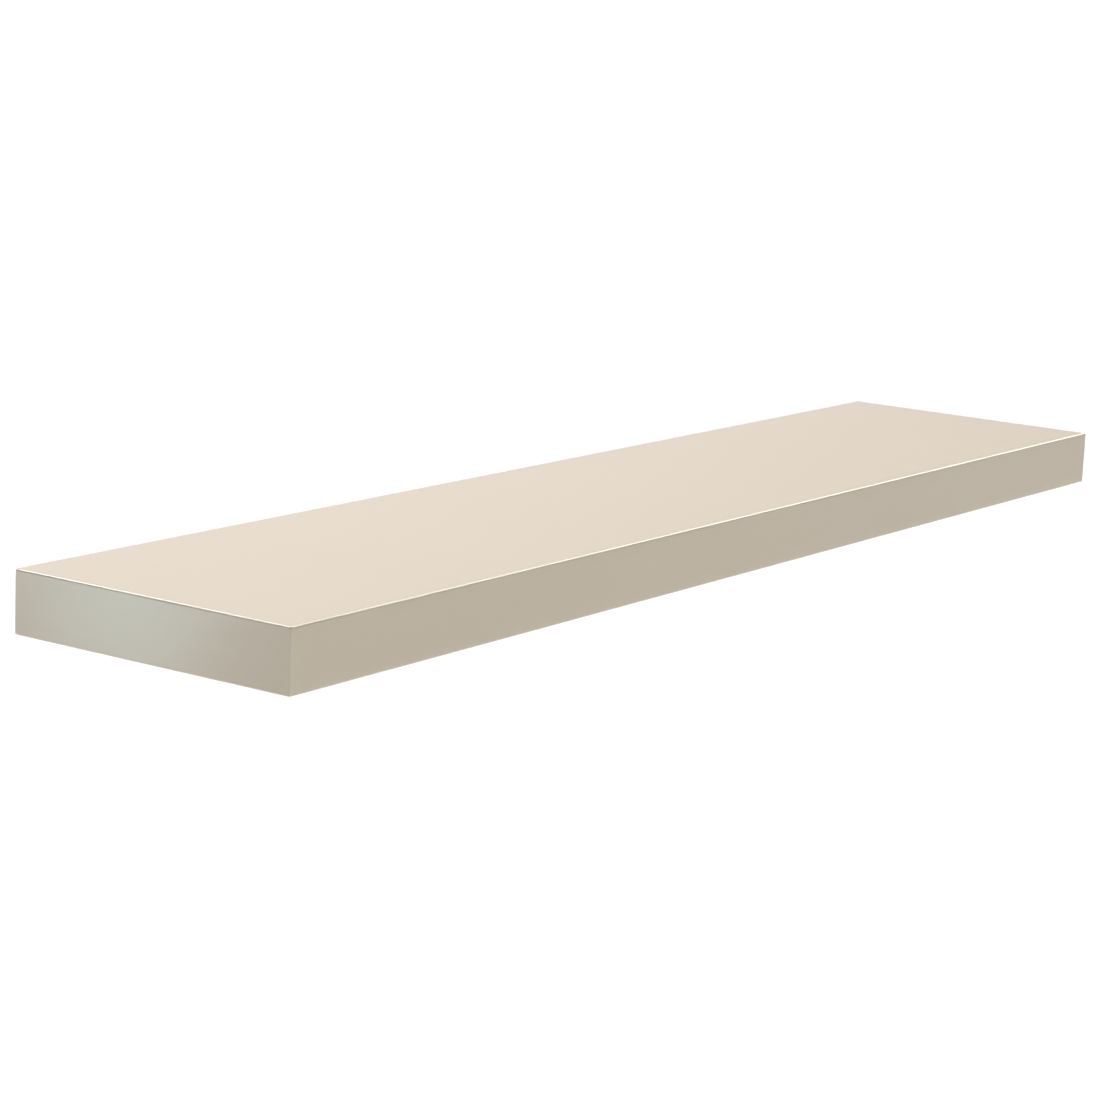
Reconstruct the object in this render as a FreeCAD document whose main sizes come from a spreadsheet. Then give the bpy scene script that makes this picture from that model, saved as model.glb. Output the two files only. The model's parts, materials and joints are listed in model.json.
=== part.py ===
import FreeCAD, Part
import math
import os
import Sketcher
from FreeCAD import Placement, Rotation, Vector

# Floating wall shelf: a hollow-core board that slides over the rods of a hidden steel bracket.
# X runs along the wall, Y points into the wall and Z is up. The origin is the middle of the
# bracket's back face, which lies on the wall. All sizes are millimetres.

SIZES = (
    ("shelf_length", 1200, "board, along the wall"),
    ("shelf_depth", 254, "board, out from the wall"),
    ("shelf_thickness", 48, "board, top to underside"),
    ("skin_thickness", 4, "fibreboard skins, folded at mitred edges"),
    ("edge_radius", 1.5, "rounding of the lacquered edges"),
    ("rail_width", 20, "front and end rails of the frame"),
    ("rear_rail_width", 30, "rear rail, front to back"),
    ("rib_width", 44, "ribs that take the rods"),
    ("wall_rail_thickness", 4, "flat bar on the wall"),
    ("wall_rail_margin", 5, "from the flat bar's edge to the skin above or below it"),
    ("wall_rail_end_gap", 56, "from the flat bar's end to the end rail"),
    ("wall_rail_corner", 4, "rounding of the flat bar's corners"),
    ("seat_gap", 0.5, "between the flat bar and the rear rail, board pushed home"),
    ("rod_diameter", 12, "support rods"),
    ("rod_front_distance", 94, "from a rod's tip to the front face"),
    ("rod_end_distance", 115, "from the flat bar's end to the outer rods"),
    ("rod_clearance", 0.3, "round a rod in its bore"),
    ("rod_end_gap", 3, "from a rod's tip to the end of its bore"),
    ("rod_tip_chamfer", 1.5, "lead on a rod's tip"),
    ("spigot_diameter", 9, "rod's turned-down end in the flat bar"),
    ("spigot_fit", 0.05, "round a spigot in the flat bar"),
    ("weld_leg", 2.5, "weld fillet round the foot of a rod"),
    ("weld_clearance", 1, "mouth of a bore past the weld"),
    ("slot_width", 6, "wall screw slots"),
    ("slot_length", 14, "wall screw slots, end to end"),
    ("slot_end_distance", 30, "from the flat bar's end to the outer slots"),
    ("screw_head_diameter", 11, "largest wall screw head"),
    ("screw_head_height", 4, "largest wall screw head"),
    ("screw_head_clearance", 1.5, "round a wall screw head"),
    ("lock_inset", 25.5, "from the rear rail to the lock screws"),
    ("lock_thread", 6, "lock screw thread"),
    ("lock_thread_clearance", 0.1, "round a lock screw in its insert"),
    ("lock_recess", 1.7, "from the underside to a lock screw's outer end"),
    ("lock_tip_gap", 0.3, "from a loosened lock screw to its rod"),
    ("lock_end_chamfer", 0.8, "both ends of a lock screw"),
    ("lock_cup_depth", 0.8, "hollow in a lock screw's tip"),
    ("lock_hole_clearance", 0.5, "round a lock screw where it passes the rib"),
    ("key_width", 3, "hexagon socket, across flats"),
    ("key_depth", 3.5, "hexagon socket"),
    ("insert_diameter", 9.5, "threaded insert in the wood"),
    ("insert_gap", 5, "from a threaded insert to the rod"),
    ("insert_barb_depth", 0.5, "barbs that hold a threaded insert"),
    ("insert_flange_diameter", 13, "flange, flush with the underside"),
    ("insert_flange_thickness", 1.2, "flange, flush with the underside"),
    ("insert_fit", 0.1, "round a threaded insert"),
    ("dowel_diameter", 8, "beech dowels"),
    ("dowel_chamfer", 1, "both ends of a dowel"),
    ("dowel_cover", 5, "wood left behind a dowel in the front and end rails"),
    ("dowel_edge", 10, "from a dowel's axis to the skin"),
    ("dowel_rib_edge", 7, "from a dowel's axis to the rib's side"),
    ("dowel_fit", 0.1, "round a dowel and at its ends"),
    ("cell_width", 25, "honeycomb cells, across flats"),
    ("smallest_cell", 3, "narrowest cut-off cell at the edge of a bay"),
    ("paper_thickness", 0.6, "honeycomb cell walls"),
    ("glue_gap", 0.2, "round a honeycomb core"),
)

doc = FreeCAD.newDocument("floating_wall_shelf")
sheet = doc.addObject("Spreadsheet::Sheet", "Sizes")
for row, (alias, number, note) in enumerate(SIZES, start=1):
    sheet.set(f"A{row}", note)
    sheet.set(f"B{row}", str(number))
    sheet.setAlias(f"B{row}", alias)
doc.recompute()

# Places that several pieces share, as expressions on the sizes
SKIN = "Sizes.skin_thickness"
HALF_LENGTH = "Sizes.shelf_length / 2"
HALF_HEIGHT = "Sizes.shelf_thickness / 2"
CORE_END = f"({HALF_LENGTH} - {SKIN})"
CORE_TOP = f"({HALF_HEIGHT} - {SKIN})"
CORE_FRONT = f"({SKIN} - Sizes.shelf_depth)"
END_RAIL_INSIDE = f"({CORE_END} - Sizes.rail_width)"
FRONT_RAIL_BACK = f"({CORE_FRONT} + Sizes.rail_width)"
REAR_RAIL_BACK = "(-Sizes.wall_rail_thickness - Sizes.seat_gap)"
REAR_RAIL_FRONT = f"({REAR_RAIL_BACK} - Sizes.rear_rail_width)"
WALL_RAIL_END = f"({END_RAIL_INSIDE} - Sizes.wall_rail_end_gap)"
WALL_RAIL_TOP = f"({CORE_TOP} - Sizes.wall_rail_margin)"
OUTER_ROD = f"({WALL_RAIL_END} - Sizes.rod_end_distance)"
OUTER_SLOT = f"({WALL_RAIL_END} - Sizes.slot_end_distance)"
INNER_SLOT = f"({OUTER_ROD} * 2 / 3)"
ROD_RADIUS = "Sizes.rod_diameter / 2"
ROD_LENGTH = "(Sizes.shelf_depth - Sizes.rod_front_distance)"
BORE_RADIUS = f"({ROD_RADIUS} + Sizes.rod_clearance)"
BORE_LENGTH = f"({ROD_LENGTH} + Sizes.rod_end_gap)"
LOCK_PLACE = f"({REAR_RAIL_FRONT} - Sizes.lock_inset)"
INSERT_LENGTH = f"({HALF_HEIGHT} - {ROD_RADIUS} - Sizes.insert_gap)"

# Rods sit at even steps, from the left, as shares of the outer rod's place
RODS = {"outer_left": "-1", "inner_left": "-1 / 3", "inner_right": "1 / 3", "outer_right": "1"}
ROD_PLACES = {name: f"({OUTER_ROD} * ({share}))" for name, share in RODS.items()}
LOCK_PLACES = {"left": ROD_PLACES["outer_left"], "right": ROD_PLACES["outer_right"]}
INSERT_BARBS = 3

ALONG_Y = Rotation(Vector(1, 0, 0), 90)  # turns Z to -Y, away from the wall
ALONG_X = Rotation(Vector(0, 1, 0), 90)  # turns Z to X
UPRIGHT = Rotation()

pieces = []


def value(expression):
    return float(sheet.evalExpression(expression))


def bind(item, expressions):
    for name, expression in expressions.items():
        item.setExpression(name, expression)


def place(item, turn, x, y, z):
    item.Placement = Placement(Vector(), turn)
    bind(item, {"Placement.Base.x": x, "Placement.Base.y": y, "Placement.Base.z": z})


def keep(item, label):
    item.Label = label
    pieces.append(item)


def block(name, x, y, z):
    """A box between pairs of low and high expressions."""
    box = doc.addObject("Part::Box", name)
    for size, (low, high) in zip(("Length", "Width", "Height"), (x, y, z)):
        box.setExpression(size, f"{high} - ({low})")
    place(box, UPRIGHT, x[0], y[0], z[0])
    return box


def cylinder(name, radius, length, turn, x, y, z):
    """A cylinder that starts at a point and runs along the turned Z axis."""
    solid = doc.addObject("Part::Cylinder", name)
    bind(solid, {"Radius": radius, "Height": length})
    place(solid, turn, x, y, z)
    return solid


def gather(name, items):
    group = doc.addObject("Part::Compound", name)
    group.Links = items
    return group


def cut(name, base, *tools):
    """A solid less some tools, cut one after another."""
    for number, tool in enumerate(tools, start=1):
        result = doc.addObject("Part::Cut", f"{name}_cut_{number}")
        result.Base = base
        result.Tool = tool
        base = result
    return base


def origin_plane(body, role):
    return next(item for item in body.Origin.OriginFeatures if item.Role == role)


def new_sketch(body, name, role):
    sketch = body.newObject("Sketcher::SketchObject", name)
    sketch.AttachmentSupport = [(origin_plane(body, role), "")]
    sketch.MapMode = "FlatFace"
    return sketch


def measure(sketch, kind, where, expression):
    """A constraint whose size follows an expression."""
    number = sketch.addConstraint(Sketcher.Constraint(kind, *where, value(expression)))
    sketch.setExpression(f"Constraints[{number}]", expression)


def fix_point(sketch, curve, end, across, along):
    """Hold one point of a sketch at two expressions, counted from the sketch's origin."""
    for kind, axis, expression in (("DistanceX", -2, across), ("DistanceY", -1, along)):
        if expression == "0":
            sketch.addConstraint(Sketcher.Constraint("PointOnObject", curve, end, axis))
        else:
            measure(sketch, kind, (-1, 1, curve, end), expression)


def outline(sketch, points):
    """A closed outline of straight lines through pairs of expressions."""
    corners = [Vector(value(across), value(along), 0) for across, along in points]
    for start, end in zip(corners, corners[1:] + corners[:1]):
        sketch.addGeometry(Part.LineSegment(start, end))
    for number, (across, along) in enumerate(points):
        before = (number - 1) % len(points)
        sketch.addConstraint(Sketcher.Constraint("Coincident", before, 2, number, 1))
        fix_point(sketch, number, 1, across, along)


def rectangle(sketch, half_width, half_height):
    low_x, low_y = f"-{half_width}", f"-{half_height}"
    outline(sketch, [(low_x, low_y), (half_width, low_y), (half_width, half_height), (low_x, half_height)])


def circle(sketch, radius, across):
    """A circle centred on the sketch's level axis."""
    centre = Vector(value(across), 0, 0)
    ring = sketch.addGeometry(Part.Circle(centre, Vector(0, 0, 1), value(radius)))
    measure(sketch, "Radius", (ring,), radius)
    fix_point(sketch, ring, 3, across, "0")


def slot(sketch, across, length, width):
    """A level slot with round ends, its middle on the sketch's level axis."""
    radius = value(f"{width} / 2")
    reach = f"({length} - {width}) / 2"
    left, right = (f"{across} - {reach}", f"{across} + {reach}")
    left_x, right_x = value(left), value(right)
    upward = Vector(0, 0, 1)
    quarter = math.pi / 2
    right_end = sketch.addGeometry(
        Part.ArcOfCircle(Part.Circle(Vector(right_x, 0, 0), upward, radius), -quarter, quarter))
    top = sketch.addGeometry(Part.LineSegment(Vector(right_x, radius, 0), Vector(left_x, radius, 0)))
    left_end = sketch.addGeometry(
        Part.ArcOfCircle(Part.Circle(Vector(left_x, 0, 0), upward, radius), quarter, 3 * quarter))
    bottom = sketch.addGeometry(Part.LineSegment(Vector(left_x, -radius, 0), Vector(right_x, -radius, 0)))
    for first, second in ((right_end, top), (top, left_end), (left_end, bottom), (bottom, right_end)):
        sketch.addConstraint(Sketcher.Constraint("Tangent", first, 2, second, 1))
    measure(sketch, "Radius", (right_end,), f"{width} / 2")
    fix_point(sketch, right_end, 3, right, "0")
    fix_point(sketch, left_end, 3, left, "0")


def pad(body, name, sketch, length):
    feature = body.newObject("PartDesign::Pad", name)
    feature.Profile = sketch
    feature.setExpression("Length", length)
    return feature


def pocket(body, name, sketch, length=None):
    """A pocket along the sketch's own normal, right through where no length is given."""
    feature = body.newObject("PartDesign::Pocket", name)
    feature.Profile = sketch
    feature.Reversed = True
    if length is None:
        feature.Type = "ThroughAll"
    else:
        feature.setExpression("Length", length)
    return feature


def turned(body, name, points):
    """A solid of revolution about Z from an outline of (radius, height) pairs."""
    sketch = new_sketch(body, f"{name}_outline", "XZ_Plane")
    outline(sketch, points)
    feature = body.newObject("PartDesign::Revolution", name)
    feature.Profile = sketch
    feature.ReferenceAxis = (sketch, ["V_Axis"])
    return feature


def dress(body, kind, name, base, size, expression, wanted):
    """A fillet or chamfer on the edges of a feature that pass a test."""
    doc.recompute()
    edges = [f"Edge{number}" for number, edge in enumerate(base.Shape.Edges, start=1) if wanted(edge)]
    feature = body.newObject(f"PartDesign::{kind}", name)
    feature.Base = (base, edges)
    feature.setExpression(size, expression)
    return feature


def mirror(body, name, features):
    """Repeat features on the other side of the middle plane."""
    feature = body.newObject("PartDesign::Mirrored", name)
    feature.Originals = features
    feature.MirrorPlane = (origin_plane(body, "YZ_Plane"), [""])
    body.Tip = feature


# Wall rail: steel flat bar, screwed to the wall through level slots
def make_wall_rail():
    body = doc.addObject("PartDesign::Body", "wall_rail")
    sketch = new_sketch(body, "wall_rail_outline", "XZ_Plane")
    rectangle(sketch, WALL_RAIL_END, WALL_RAIL_TOP)
    bar = pad(body, "flat_bar", sketch, "Sizes.wall_rail_thickness")
    dress(body, "Fillet", "flat_bar_corners", bar, "Radius", "Sizes.wall_rail_corner",
          lambda edge: edge.BoundBox.YLength > value("Sizes.wall_rail_thickness / 2"))
    holes = new_sketch(body, "spigot_holes_outline", "XZ_Plane")
    for name in ("inner_right", "outer_right"):
        circle(holes, "(Sizes.spigot_diameter / 2 + Sizes.spigot_fit)", ROD_PLACES[name])
    spigot_holes = pocket(body, "spigot_holes", holes)
    slots = new_sketch(body, "screw_slots_outline", "XZ_Plane")
    for across in (INNER_SLOT, OUTER_SLOT):
        slot(slots, across, "Sizes.slot_length", "Sizes.slot_width")
    screw_slots = pocket(body, "screw_slots", slots)
    mirror(body, "wall_rail_left_half", [spigot_holes, screw_slots])
    keep(body, "wall_rail")


# Support rods: round steel bar, each with a spigot welded into the wall rail
def make_rods():
    spigot = "Sizes.spigot_diameter / 2"
    foot = "Sizes.wall_rail_thickness"
    tip = ROD_LENGTH
    points = [("0", "0"), (spigot, "0"), (spigot, foot), (f"{ROD_RADIUS} + Sizes.weld_leg", foot),
              (ROD_RADIUS, f"{foot} + Sizes.weld_leg"), (ROD_RADIUS, tip), ("0", tip)]
    for name, x in ROD_PLACES.items():
        body = doc.addObject("PartDesign::Body", f"{name}_rod")
        bar = turned(body, f"{name}_bar", points)
        dress(body, "Chamfer", f"{name}_tip", bar, "Size", "Sizes.rod_tip_chamfer",
              lambda edge: edge.Closed and edge.BoundBox.ZMin > value(f"{tip} / 2"))
        place(body, ALONG_Y, x, "0", "0")
        keep(body, f"{name}_rod")


# Skins: thin fibreboard, V-grooved and folded round the frame, so that they meet at mitres
def make_skins(insert_holes):
    body = doc.addObject("PartDesign::Body", "board_outside")
    sketch = new_sketch(body, "board_outline", "XZ_Plane")
    rectangle(sketch, HALF_LENGTH, HALF_HEIGHT)
    board = pad(body, "board", sketch, "Sizes.shelf_depth")
    dress(body, "Fillet", "board_edges", board, "Radius", "Sizes.edge_radius",
          lambda edge: edge.BoundBox.YMin < value("-Sizes.edge_radius"))

    depth = "Sizes.shelf_depth"
    long_sides = {"Xmin": f"-{HALF_LENGTH}", "Xmax": HALF_LENGTH}
    high_sides = {"Zmin": f"-{HALF_HEIGHT}", "Zmax": HALF_HEIGHT}
    skins = {
        "top_skin": (ALONG_Y, HALF_HEIGHT, {**long_sides, "Zmin": "0", "Zmax": depth}),
        "bottom_skin": (Rotation(Vector(1, 0, 0), -90), HALF_HEIGHT,
                        {**long_sides, "Zmin": f"-{depth}", "Zmax": "0"}),
        "front_skin": (Rotation(Vector(0, 0, 1), 180), depth, {**long_sides, **high_sides}),
        "left_end_skin": (Rotation(Vector(0, 0, 1), 90), HALF_LENGTH,
                          {"Xmin": f"-{depth}", "Xmax": "0", **high_sides}),
        "right_end_skin": (Rotation(Vector(0, 0, 1), -90), HALF_LENGTH,
                           {"Xmin": "0", "Xmax": depth, **high_sides}),
    }
    for label, (turn, outside, sides) in skins.items():
        wedge = doc.addObject("Part::Wedge", f"{label}_wedge")
        bind(wedge, {"Ymin": f"{outside} - {SKIN}", "Ymax": outside})
        for side, edge in sides.items():
            mitre = "0" if edge == "0" else SKIN if side.endswith("min") else f"-{SKIN}"
            bind(wedge, {side: f"{edge} + {mitre}", f"{side[0]}2{side[1:]}": edge})
        wedge.Placement = Placement(Vector(), turn)
        skin = doc.addObject("Part::Common", f"{label}_sheet")
        skin.Base = body
        skin.Tool = wedge
        if label == "bottom_skin":
            skin = cut(label, skin, insert_holes)
        keep(skin, label)


# Frame: softwood rails and ribs, doweled and glued into a ladder
def make_frame(dowel_holes, insert_holes):
    height = (f"-{CORE_TOP}", CORE_TOP)
    between_ends = (f"-{END_RAIL_INSIDE}", END_RAIL_INSIDE)
    rails = {
        "front_rail": (between_ends, (CORE_FRONT, FRONT_RAIL_BACK)),
        "left_end_rail": ((f"-{CORE_END}", f"-{END_RAIL_INSIDE}"), (CORE_FRONT, "0")),
        "right_end_rail": ((END_RAIL_INSIDE, CORE_END), (CORE_FRONT, "0")),
    }
    for label, (x, y) in rails.items():
        keep(cut(label, block(f"{label}_bar", x, y, height), dowel_holes), label)

    keep(cut("rear_rail", make_rear_rail(), dowel_holes), "rear_rail")

    for name, x in ROD_PLACES.items():
        half = "Sizes.rib_width / 2"
        rib = block(f"{name}_rib_bar", (f"{x} - {half}", f"{x} + {half}"),
                    (FRONT_RAIL_BACK, REAR_RAIL_FRONT), height)
        bore = cylinder(f"{name}_bore", BORE_RADIUS, BORE_LENGTH, ALONG_Y, x, "0", "0")
        keep(cut(f"{name}_rib", rib, bore, insert_holes, dowel_holes), f"{name}_rib")


def make_rear_rail():
    """The rail against the flat bar, bored for the rods and routed for the wall screws' heads."""
    body = doc.addObject("PartDesign::Body", "rear_rail_bar")
    sketch = new_sketch(body, "rear_rail_outline", "XZ_Plane")
    rectangle(sketch, END_RAIL_INSIDE, CORE_TOP)
    bar = pad(body, "rear_rail_blank", sketch, "Sizes.rear_rail_width")
    bores = new_sketch(body, "rear_rail_bores_outline", "XZ_Plane")
    for x in ROD_PLACES.values():
        circle(bores, BORE_RADIUS, x)
    drilled = pocket(body, "rear_rail_bores", bores)
    dress(body, "Chamfer", "bore_mouths", drilled, "Size", "Sizes.weld_leg + Sizes.weld_clearance",
          lambda edge: edge.Closed and edge.BoundBox.YMin > value("-Sizes.rear_rail_width / 2"))
    heads = new_sketch(body, "screw_head_outline", "XZ_Plane")
    for x in (INNER_SLOT, OUTER_SLOT):
        width = "(Sizes.screw_head_diameter + 2 * Sizes.screw_head_clearance)"
        slot(heads, x, f"(Sizes.slot_length - Sizes.slot_width + {width})", width)
    head_room = "Sizes.screw_head_height + Sizes.screw_head_clearance"
    routed = pocket(body, "screw_head_pockets", heads, head_room)
    mirror(body, "rear_rail_left_half", [routed])
    place(body, UPRIGHT, "0", REAR_RAIL_BACK, "0")
    return body


# Dowels: two at each frame corner and at both ends of each rib
def dowel_joints():
    """Where each dowel crosses its joint, and the turn that lays it across."""
    rise = f"({CORE_TOP} - Sizes.dowel_edge)"
    spread = "(Sizes.rib_width / 2 - Sizes.dowel_rib_edge)"
    front_middle = f"({CORE_FRONT} + Sizes.rail_width / 2)"
    rear_middle = f"({REAR_RAIL_BACK} - Sizes.rear_rail_width / 2)"
    joints = []
    for sign in ("-", ""):
        for end in ("-", ""):
            for y in (front_middle, rear_middle):
                joints.append((ALONG_X, f"{end}{END_RAIL_INSIDE}", y, f"{sign}{rise}"))
        for x in ROD_PLACES.values():
            joints.append((ALONG_Y, x, FRONT_RAIL_BACK, f"{sign}{rise}"))
            joints.append((ALONG_Y, f"{x} + {sign}{spread}", REAR_RAIL_FRONT, "0"))
    return joints


def lay_dowels(name, radius, reach, ease):
    """One short round bar, with eased ends, laid across each joint."""
    body = doc.addObject("PartDesign::Body", f"{name}_pattern")
    inner, shoulder = f"{radius} - {ease}", f"{reach} - {ease}"
    turned(body, f"{name}_bar", [("0", f"-({reach})"), (inner, f"-({reach})"), (radius, f"-({shoulder})"),
                                 (radius, shoulder), (inner, reach), ("0", reach)])
    copies = []
    for number, (turn, x, y, z) in enumerate(dowel_joints(), start=1):
        copy = doc.addObject("App::Link", f"{name}_{number}")
        copy.LinkedObject = body
        place(copy, turn, x, y, z)
        copies.append(copy)
    return gather(name, copies)


def make_dowels():
    """Lay the dowels, and give back the holes that take them."""
    radius = "Sizes.dowel_diameter / 2"
    reach = "Sizes.rail_width - Sizes.dowel_cover"
    ease = "Sizes.dowel_chamfer"
    keep(lay_dowels("frame_dowels", radius, reach, ease), "frame_dowels")
    return lay_dowels("dowel_holes", f"{radius} + Sizes.dowel_fit", f"{reach} + Sizes.dowel_fit", ease)


# Locks: a brass insert under each outer rod, with a grub screw that clamps the rod
def make_insert_holes():
    holes = []
    below = f"-({HALF_HEIGHT} + {SKIN})"
    fit = "Sizes.insert_fit"
    steps = {
        "flange_seat": (f"Sizes.insert_flange_diameter / 2 + {fit}", "Sizes.insert_flange_thickness"),
        "insert_hole": (f"Sizes.insert_diameter / 2 + {fit}", INSERT_LENGTH),
        "screw_hole": ("Sizes.lock_thread / 2 + Sizes.lock_hole_clearance", HALF_HEIGHT),
    }
    for side, x in LOCK_PLACES.items():
        solids = [cylinder(f"{name}_{side}", radius, f"{SKIN} + {length}", UPRIGHT, x, LOCK_PLACE, below)
                  for name, (radius, length) in steps.items()]
        stepped = doc.addObject("Part::MultiFuse", f"stepped_hole_{side}")
        stepped.Shapes = solids
        holes.append(stepped)
    return gather("insert_holes", holes)


def make_locks():
    bore = "Sizes.lock_thread / 2 + Sizes.lock_thread_clearance"
    wall = "Sizes.insert_diameter / 2"
    flange = "Sizes.insert_flange_diameter / 2"
    step = "Sizes.insert_flange_thickness"
    barb = f"(({INSERT_LENGTH} - {step}) / {INSERT_BARBS})"
    insert = [(bore, "0"), (flange, "0"), (flange, step)]
    for number in range(INSERT_BARBS):
        insert.append((wall, f"{step} + {barb} * {number}"))
        insert.append((f"{wall} - Sizes.insert_barb_depth", f"{step} + {barb} * {number + 1}"))
    insert.append((bore, INSERT_LENGTH))
    thread = "Sizes.lock_thread / 2"
    ease = "Sizes.lock_end_chamfer"
    length = f"({HALF_HEIGHT} - Sizes.lock_recess - {ROD_RADIUS} - Sizes.lock_tip_gap)"
    screw = [("0", "0"), (f"{thread} - {ease}", "0"), (thread, ease), (thread, f"{length} - {ease}"),
             (f"{thread} - {ease}", length), ("0", f"{length} - Sizes.lock_cup_depth")]
    corner = "(Sizes.key_width / sqrt(3))"
    flat = "Sizes.key_width / 2"
    hexagon = [(corner, "0"), (f"{corner} / 2", flat), (f"-{corner} / 2", flat), (f"-{corner}", "0"),
               (f"-{corner} / 2", f"-{flat}"), (f"{corner} / 2", f"-{flat}")]
    for side, x in LOCK_PLACES.items():
        body = doc.addObject("PartDesign::Body", f"lock_insert_{side}")
        turned(body, f"insert_{side}", insert)
        place(body, UPRIGHT, x, LOCK_PLACE, f"-{HALF_HEIGHT}")
        keep(body, f"lock_insert_{side}")

        body = doc.addObject("PartDesign::Body", f"lock_screw_{side}")
        turned(body, f"screw_{side}", screw)
        socket = new_sketch(body, f"socket_{side}_outline", "XY_Plane")
        outline(socket, hexagon)
        pocket(body, f"socket_{side}", socket, "Sizes.key_depth")
        place(body, UPRIGHT, x, LOCK_PLACE, f"Sizes.lock_recess - {HALF_HEIGHT}")
        keep(body, f"lock_screw_{side}")


# Honeycomb: expanded paper core, cells on end, filling each bay of the frame
def trim(polygon, axis, limit, side):
    """The part of a polygon on one side of a line across an axis."""
    kept = []
    for start, end in zip(polygon, polygon[1:] + polygon[:1]):
        start_in = (start[axis] - limit) * side >= 0
        end_in = (end[axis] - limit) * side >= 0
        if start_in:
            kept.append(start)
        if start_in != end_in:
            kept.append(start + (end - start) * ((limit - start[axis]) / (end[axis] - start[axis])))
    return kept


def cell_outline(centre, corner_radius, low, high):
    """One hexagonal cell, cut off at the edges of its bay."""
    cell = [centre + Vector(corner_radius * math.sin(turn), corner_radius * math.cos(turn), 0)
            for turn in (math.radians(60 * step) for step in range(6))]
    for axis in (0, 1):
        cell = trim(cell, axis, low[axis], 1)
        cell = trim(cell, axis, high[axis], -1)
    return cell


def honeycomb(low, high, height):
    """A paper core between two corners: a sheet with hexagonal holes, drawn up to its height."""
    cell_width = value("Sizes.cell_width")
    paper = value("Sizes.paper_thickness")
    smallest = value("Sizes.smallest_cell")
    row_step = cell_width * math.sqrt(3) / 2
    corner_radius = (cell_width - paper) / math.sqrt(3)
    middle = (low + high) / 2
    edge = Vector(paper, paper, 0)
    columns = math.ceil((high - low).x / 2 / cell_width) + 1
    rows = math.ceil((high - low).y / 2 / row_step) + 1
    wires = [Part.makePolygon([low, Vector(high.x, low.y, 0), high, Vector(low.x, high.y, 0), low])]
    for row in range(-rows, rows + 1):
        shift = (row % 2) / 2
        for column in range(-columns, columns + 1):
            centre = middle + Vector((column + shift) * cell_width, row * row_step, 0)
            cell = cell_outline(centre, corner_radius, low + edge, high - edge)
            if len(cell) < 3:
                continue
            wire = Part.makePolygon(cell + cell[:1])
            if min(wire.BoundBox.XLength, wire.BoundBox.YLength) > smallest:
                wires.append(wire)
    sheet_face = Part.makeFace(wires, "Part::FaceMakerBullseye")
    return sheet_face.extrude(Vector(0, 0, height))


def make_honeycomb():
    half_rib = value("Sizes.rib_width / 2")
    gap = value("Sizes.glue_gap")
    height = value(f"2 * {CORE_TOP}") - 2 * gap
    rods = [value(x) for x in ROD_PLACES.values()]
    starts = [-value(END_RAIL_INSIDE)] + [x + half_rib for x in rods]
    ends = [x - half_rib for x in rods] + [value(END_RAIL_INSIDE)]
    for number, (start, end) in enumerate(zip(starts, ends), start=1):
        low = Vector(start + gap, value(FRONT_RAIL_BACK) + gap, 0)
        high = Vector(end - gap, value(REAR_RAIL_FRONT) - gap, 0)
        core = doc.addObject("Part::Feature", f"honeycomb_bay_{number}")
        core.Shape = honeycomb(low, high, height)
        core.Placement = Placement(Vector(0, 0, -height / 2), UPRIGHT)
        keep(core, f"honeycomb_bay_{number}")


make_wall_rail()
make_rods()
insert_holes = make_insert_holes()
make_skins(insert_holes)
make_frame(make_dowels(), insert_holes)
make_locks()
make_honeycomb()
doc.recompute()

for item in doc.Objects:
    if "Invalid" in item.State or "Error" in item.State:
        raise RuntimeError(f"{item.Label} failed to rebuild")
for piece in pieces:
    if piece.Shape.isNull() or not piece.Shape.isValid():
        raise RuntimeError(f"{piece.Label} has no valid shape")

os.makedirs("parts", exist_ok=True)
for piece in pieces:
    piece.Shape.exportStep(f"parts/{piece.Label}.step")
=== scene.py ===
import json
import math

import bmesh
import bpy
from mathutils import Matrix, Vector

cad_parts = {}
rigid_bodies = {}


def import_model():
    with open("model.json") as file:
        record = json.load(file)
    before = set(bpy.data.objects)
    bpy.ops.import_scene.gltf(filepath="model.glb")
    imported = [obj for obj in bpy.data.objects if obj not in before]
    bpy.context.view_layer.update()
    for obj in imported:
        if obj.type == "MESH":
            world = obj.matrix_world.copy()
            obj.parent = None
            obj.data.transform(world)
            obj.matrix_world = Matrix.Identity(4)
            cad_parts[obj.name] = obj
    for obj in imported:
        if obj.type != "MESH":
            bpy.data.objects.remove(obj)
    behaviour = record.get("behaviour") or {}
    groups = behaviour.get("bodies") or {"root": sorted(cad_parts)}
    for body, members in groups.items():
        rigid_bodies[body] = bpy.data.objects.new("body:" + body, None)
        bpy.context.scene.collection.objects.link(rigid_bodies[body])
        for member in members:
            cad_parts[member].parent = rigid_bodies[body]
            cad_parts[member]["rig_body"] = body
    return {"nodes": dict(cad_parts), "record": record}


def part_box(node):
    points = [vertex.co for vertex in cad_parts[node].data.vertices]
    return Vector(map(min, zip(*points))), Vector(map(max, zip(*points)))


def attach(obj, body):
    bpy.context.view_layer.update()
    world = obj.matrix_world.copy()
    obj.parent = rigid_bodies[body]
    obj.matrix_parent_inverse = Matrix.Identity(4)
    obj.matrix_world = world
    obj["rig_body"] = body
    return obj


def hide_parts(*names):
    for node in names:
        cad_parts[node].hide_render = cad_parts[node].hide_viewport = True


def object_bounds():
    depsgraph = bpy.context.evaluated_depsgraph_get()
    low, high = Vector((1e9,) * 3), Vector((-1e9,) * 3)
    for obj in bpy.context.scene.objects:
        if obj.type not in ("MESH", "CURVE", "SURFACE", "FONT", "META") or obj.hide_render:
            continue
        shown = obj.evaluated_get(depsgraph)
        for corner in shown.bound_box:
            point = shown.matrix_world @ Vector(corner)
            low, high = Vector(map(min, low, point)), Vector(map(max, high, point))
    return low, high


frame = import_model()
cad_low, cad_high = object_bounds()

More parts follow.
